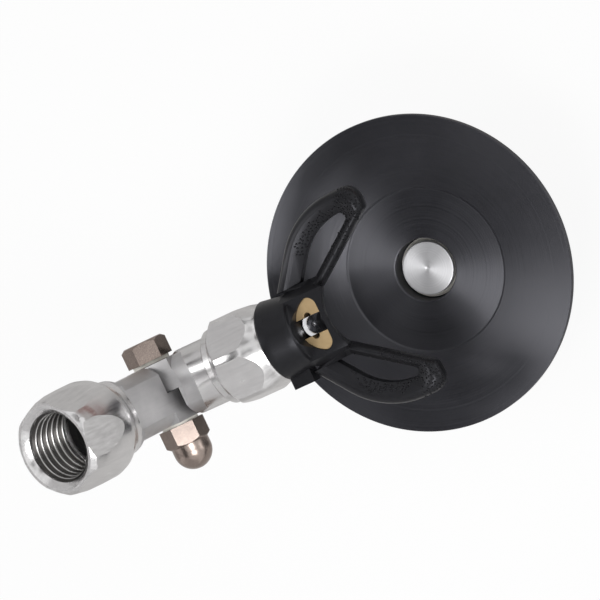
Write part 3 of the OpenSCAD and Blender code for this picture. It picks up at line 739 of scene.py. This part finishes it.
def new_group(name, inputs):
    """Empty node group with named inputs, a finish, and one geometry output."""
    group = bpy.data.node_groups.new(name, "GeometryNodeTree")
    group.interface.new_socket("Geometry", in_out="INPUT", socket_type="NodeSocketGeometry")
    for label in inputs:
        group.interface.new_socket(label, in_out="INPUT", socket_type="NodeSocketFloat")
    group.interface.new_socket("Finish", in_out="INPUT", socket_type="NodeSocketMaterial")
    group.interface.new_socket("Geometry", in_out="OUTPUT", socket_type="NodeSocketGeometry")
    return group


def close_group(group, given, shape):
    """Ends a group: instances become a mesh, and the mesh gets its finish."""
    whole = group.nodes.new("GeometryNodeRealizeInstances")
    coat = group.nodes.new("GeometryNodeSetMaterial")
    result = group.nodes.new("NodeGroupOutput")
    group.links.new(shape, whole.inputs["Geometry"])
    group.links.new(whole.outputs["Geometry"], coat.inputs["Geometry"])
    group.links.new(given.outputs["Finish"], coat.inputs["Material"])
    group.links.new(coat.outputs["Geometry"], result.inputs["Geometry"])


def grown(name, mesh, group, values):
    """Object whose plain mesh is what a node group makes from a start mesh."""
    piece = bpy.data.objects.new(name, mesh)
    scene.collection.objects.link(piece)
    maker = piece.modifiers.new("maker", "NODES")
    maker.node_group = group
    for socket in group.interface.items_tree:
        if socket.in_out == "INPUT" and socket.name in values:
            maker[socket.identifier] = values[socket.name]
    view = bpy.context.evaluated_depsgraph_get()
    done = bpy.data.meshes.new_from_object(piece.evaluated_get(view))
    piece.modifiers.clear()
    piece.data = done
    return piece


print("node group helpers:", new_group.__name__, close_group.__name__, grown.__name__)

# %% Grip pips
pip_sides = 8
pip_seed = 7


def pip_field():
    """Node group that puts a frustum on points scattered over the stippled slopes."""
    group = new_group("pip_field", ("Spacing", "Density", "Base Radius", "Top Radius", "Height"))
    given = group.nodes.new("NodeGroupInput")
    marked = group.nodes.new("GeometryNodeInputNamedAttribute")
    marked.data_type = "FLOAT"
    marked.inputs["Name"].default_value = "stippled"
    scatter = group.nodes.new("GeometryNodeDistributePointsOnFaces")
    scatter.distribute_method = "POISSON"
    scatter.inputs["Seed"].default_value = pip_seed
    pip = group.nodes.new("GeometryNodeMeshCone")
    pip.inputs["Vertices"].default_value = pip_sides
    planted = group.nodes.new("GeometryNodeInstanceOnPoints")
    link = group.links.new
    link(given.outputs["Geometry"], scatter.inputs["Mesh"])
    link(given.outputs["Spacing"], scatter.inputs["Distance Min"])
    link(given.outputs["Density"], scatter.inputs["Density Max"])
    link(marked.outputs["Attribute"], scatter.inputs["Density Factor"])
    link(given.outputs["Base Radius"], pip.inputs["Radius Bottom"])
    link(given.outputs["Top Radius"], pip.inputs["Radius Top"])
    link(given.outputs["Height"], pip.inputs["Depth"])
    link(scatter.outputs["Points"], planted.inputs["Points"])
    link(scatter.outputs["Rotation"], planted.inputs["Rotation"])
    link(pip.outputs["Mesh"], planted.inputs["Instance"])
    close_group(group, given, planted.outputs["Instances"])
    return group


pip_values = {
    "Spacing": 0.85 * MM,
    "Density": 3.0 / MM**2,
    "Base Radius": 0.36 * MM,
    "Top Radius": 0.16 * MM,
    "Height": 0.26 * MM,
    "Finish": guard_plastic.material,
}
pips = grown("grip_pips", guard_piece.data.copy(), pip_field(), pip_values)
pips.data.shade_smooth()
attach(pips, "guard")
print("pip faces:", len(pips.data.polygons))

# %% [markdown]
# ## Turned pieces
# The disc and its pin are lathe work, so they are spun from a profile. A solid's mesh has flats round its
# rim that show against a white ground, and a spin with many steps does not. The overall sizes come from
# the solids' boxes, and the smaller ones are written here, in millimetres from the knuckle's height.

# %% Lathe
on_axis = 1e-6


def held(profile, margin=0.06, shortest=0.8):
    """Adds a point close to both ends of every long stretch, so that it stays flat when shaded smooth."""
    points = []
    count = len(profile)
    last = count if profile[0][0] > on_axis else count - 1
    for step in range(count):
        start = Vector(profile[step])
        points.append(tuple(start))
        run = Vector(profile[(step + 1) % count]) - start
        if step < last and run.length > shortest:
            points.append(tuple(start + run.normalized() * margin))
            points.append(tuple(start + run - run.normalized() * margin))
    return points


def spun(name, profile, steps, body, node, finish):
    """Closed lathe shape about the axle from [radius, height] points, which takes its node's place."""
    shape = bmesh.new()
    rings = []
    for radius, height in held(profile):
        middle = Vector((axle.x, axle.y, knuckle.z + height * MM))
        if radius < on_axis:
            rings.append([shape.verts.new(middle)])
            continue
        angles = [2.0 * math.pi * step / steps for step in range(steps)]
        spokes = [Vector((math.cos(angle), math.sin(angle), 0.0)) for angle in angles]
        rings.append([shape.verts.new(middle + spoke * radius * MM) for spoke in spokes])
    pairs = list(zip(rings, rings[1:]))
    if len(rings[0]) > 1:
        pairs.append((rings[-1], rings[0]))
    for low, high in pairs:
        for step in range(steps):
            below = [low[step % len(low)], low[(step + 1) % len(low)]]
            above = [high[(step + 1) % len(high)], high[step % len(high)]]
            corners = list(dict.fromkeys(below + above))
            if len(corners) > 2:
                shape.faces.new(corners)
    bmesh.ops.recalc_face_normals(shape, faces=shape.faces)
    mesh = bpy.data.meshes.new(name)
    shape.to_mesh(mesh)
    shape.free()
    mesh.materials.append(finish.material)
    mesh.shade_smooth()
    mesh.set_sharp_from_angle(angle=math.radians(crease_degrees))
    piece = bpy.data.objects.new(name, mesh)
    scene.collection.objects.link(piece)
    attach(piece, body)
    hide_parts(node)
    print(name, "faces:", len(mesh.polygons))
    return piece


# %% Disc
disc_low, disc_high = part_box("disc")
disc_radius = (disc_high.x - disc_low.x) / 2 / MM
rim_top = (disc_high.z - knuckle.z) / MM
hub_end = (disc_low.z - knuckle.z) / MM
dish_depth, disc_wall, bush_length = 8.8, 4.2, 6.0
flat_radius, hub_radius, bore_radius = 26.0, 14.05, 8.05
recess_radius = 10.0  # recess round the pin's head
flat_height = rim_top - dish_depth
back_height = flat_height - disc_wall
recess_floor = hub_end + bush_length
disc_steps = 256

rim_edge = [
    (disc_radius - 0.25, rim_top),
    (disc_radius - 0.1, rim_top - 0.06),
    (disc_radius, rim_top - 0.25),
    (disc_radius, rim_top - 2.3),
    (disc_radius - 0.15, rim_top - 2.6),
    (disc_radius - 0.5, rim_top - 2.85),
]
hub_outside = [
    (flat_radius, back_height),
    (hub_radius + 2.0, back_height),
    (hub_radius + 0.95, back_height - 0.3),
    (hub_radius + 0.25, back_height - 1.2),
    (hub_radius, back_height - 2.0),
    (hub_radius, hub_end + 0.32),
    (hub_radius - 0.3, hub_end),
]
hub_inside = [
    (bore_radius, hub_end),
    (bore_radius, recess_floor),
    (recess_radius, recess_floor),
    (recess_radius, flat_height - 0.4),
    (recess_radius + 0.1, flat_height - 0.15),
    (recess_radius + 0.4, flat_height),
]
flat_edge = [
    (flat_radius - 0.4, flat_height),
    (flat_radius - 0.1, flat_height + 0.1),
    (flat_radius + 0.1, flat_height + 0.35),
    (flat_radius + 0.3, flat_height + 0.5),
]
disc_profile = rim_edge + hub_outside + hub_inside + flat_edge
spun("shield_disc", disc_profile, disc_steps, "roller", "disc", disc_plastic)

# %% Axle pin
pin_low, pin_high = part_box("axle_pin")
head_radius = (pin_high.x - pin_low.x) / 2 / MM
pin_face = (pin_high.z - knuckle.z) / MM
pin_end = (pin_low.z - knuckle.z) / MM
head_thickness, screwed_length = 3.2, 12.7
shank_radius, screwed_radius = 6.0, 4.0
head_back = pin_face - head_thickness
shank_end = pin_end + screwed_length
pin_steps = 128

pin_head = [
    (0.0, pin_face - 0.15),  # dimple that the lathe's centre left
    (0.5, pin_face - 0.1),
    (0.9, pin_face),
    (head_radius - 0.4, pin_face),
    (head_radius - 0.1, pin_face - 0.1),
    (head_radius, pin_face - 0.4),
    (head_radius, head_back + 0.2),
    (head_radius - 0.2, head_back),
]
pin_shank = [
    (shank_radius, head_back),
    (shank_radius, shank_end),
    (screwed_radius, shank_end),
    (screwed_radius, pin_end + 0.6),
    (screwed_radius - 0.6, pin_end),
    (0.0, pin_end),
]
spun("axle_pin_turned", pin_head + pin_shank, pin_steps, "guard", "axle_pin", pin_metal)

# %% [markdown]
# ## Inlet thread
# The mouth holds a coarse thread with bright crests, and its roots are painted near black as shade. The
# solid keeps a plain wall at the thread's widest radius, so the thread itself is a ridge that stands in
# from that wall. Stacked rings would be quicker, but they would not climb. One ridge that follows a helix
# is work for Geometry Nodes: a spiral curve carries a small wedge along it, and the sizes stay open as
# named inputs.

# %% Thread finish
thread_radius = inlet_mount["dims"]["r_mm"]
ridge_height = 0.95
ridge_sink = 0.05  # how far the ridge's foot goes into the wall
crest_radius = thread_radius + ridge_sink - ridge_height
# Past this depth below the crest the colour fades to near black: painted shade in the thread's roots.
shade_depth, shade_edge = 0.16, 0.24  # where the bright crest turns dark
thread_metal_root_shade = Finish("thread_aluminium", (0.70, 0.69, 0.69), metallic=1.0, roughness=0.3)
# The roots' dark colour is painted shade, not a colour of the metal.
root_shade = thread_metal_root_shade.off_axis(inlet_axis).above(crest_radius + shade_depth, shade_edge)
thread_metal_root_shade.set(**{"Base Color": thread_metal_root_shade.shades(root_shade, (0.62, 0.61, 0.60), (0.055, 0.052, 0.05))})
print("crest radius mm:", round(crest_radius, 2))

# %% Inlet thread
thread_pitch = 2.55  # as far apart as the crests stand in the photograph, at the size of the part
thread_length = 15.2
thread_start = 0.95  # behind the mount's place
steps_per_turn = 56
crest_share = 0.22  # width of the crest as a share of the foot's


def helix_ridge():
    """Node group that sweeps a wedge along a spiral."""
    group = new_group("helix_ridge", ("Radius", "Length", "Turns", "Ridge Width", "Ridge Height"))
    given = group.nodes.new("NodeGroupInput")
    spiral = group.nodes.new("GeometryNodeCurveSpiral")
    spiral.inputs["Resolution"].default_value = steps_per_turn
    upright = group.nodes.new("GeometryNodeSetCurveNormal")
    upright.mode = "Z_UP"
    wedge = group.nodes.new("GeometryNodeCurvePrimitiveQuadrilateral")
    wedge.mode = "TRAPEZOID"
    wedge.inputs["Offset"].default_value = 0.0
    crest = group.nodes.new("ShaderNodeMath")
    crest.operation = "MULTIPLY"
    crest.inputs[1].default_value = crest_share
    turned_profile = group.nodes.new("GeometryNodeTransform")
    turned_profile.inputs["Rotation"].default_value = (0.0, 0.0, math.radians(-90.0))
    sweep = group.nodes.new("GeometryNodeCurveToMesh")
    sweep.inputs["Fill Caps"].default_value = True
    link = group.links.new
    link(given.outputs["Turns"], spiral.inputs["Rotations"])
    link(given.outputs["Radius"], spiral.inputs["Start Radius"])
    link(given.outputs["Radius"], spiral.inputs["End Radius"])
    link(given.outputs["Length"], spiral.inputs["Height"])
    link(given.outputs["Ridge Width"], wedge.inputs["Bottom Width"])
    link(given.outputs["Ridge Width"], crest.inputs[0])
    link(crest.outputs[0], wedge.inputs["Top Width"])
    link(given.outputs["Ridge Height"], wedge.inputs["Height"])
    link(wedge.outputs["Curve"], turned_profile.inputs["Geometry"])
    link(spiral.outputs["Curve"], upright.inputs["Curve"])
    link(upright.outputs["Curve"], sweep.inputs["Curve"])
    link(turned_profile.outputs["Geometry"], sweep.inputs["Profile Curve"])
    close_group(group, given, sweep.outputs["Mesh"])
    return group


ridge_values = {
    "Radius": (thread_radius + ridge_sink - ridge_height / 2) * MM,
    "Length": thread_length * MM,
    "Turns": thread_length / thread_pitch,
    "Ridge Width": 2.5 * MM,
    "Ridge Height": ridge_height * MM,
    "Finish": thread_metal_root_shade.material,
}
thread_piece = grown("inlet_thread_ridge", bpy.data.meshes.new("thread_start"), helix_ridge(), ridge_values)
thread_mesh = thread_piece.data
along_inlet = Matrix((inlet_side, bolt_axis, -inlet_axis)).transposed().to_4x4()
thread_mesh.transform(Matrix.Translation(inlet_axis * -thread_start * MM) @ along_inlet)
thread_mesh.shade_smooth()
thread_mesh.set_sharp_from_angle(angle=math.radians(crease_degrees))
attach(thread_piece, "inlet")
radii = [(v.co - inlet_axis * v.co.dot(inlet_axis)).length / MM for v in thread_mesh.vertices]
print("thread faces:", len(thread_mesh.polygons), "radii mm:", round(min(radii), 2), round(max(radii), 2))

# %% [markdown]
# ## Small hidden pieces
# Gaskets, washers and rings keep their solids, because hardly anything of them shows. Bevelled copies
# would only add faces that nobody sees, so these pieces just get a finish of their own.

# %% Small hidden pieces
plain = {
    "inlet_gasket": seal_rubber,
    "bolt_seal": seal_nylon,
    "cap_seal": seal_nylon,
    "lap_ring": seal_rubber,
    "snap_ring": spring_finish,
    "seat_gasket": seal_rubber,
    "axle_washer": nickel,
    "lower_thrust_washer": seal_nylon,
    "upper_thrust_washer": seal_nylon,
    "disc_bush": bronze_finish,
}
for node, finish in plain.items():
    nodes[node].data.materials.clear()
    nodes[node].data.materials.append(finish.material)
print("plain nodes:", len(plain))
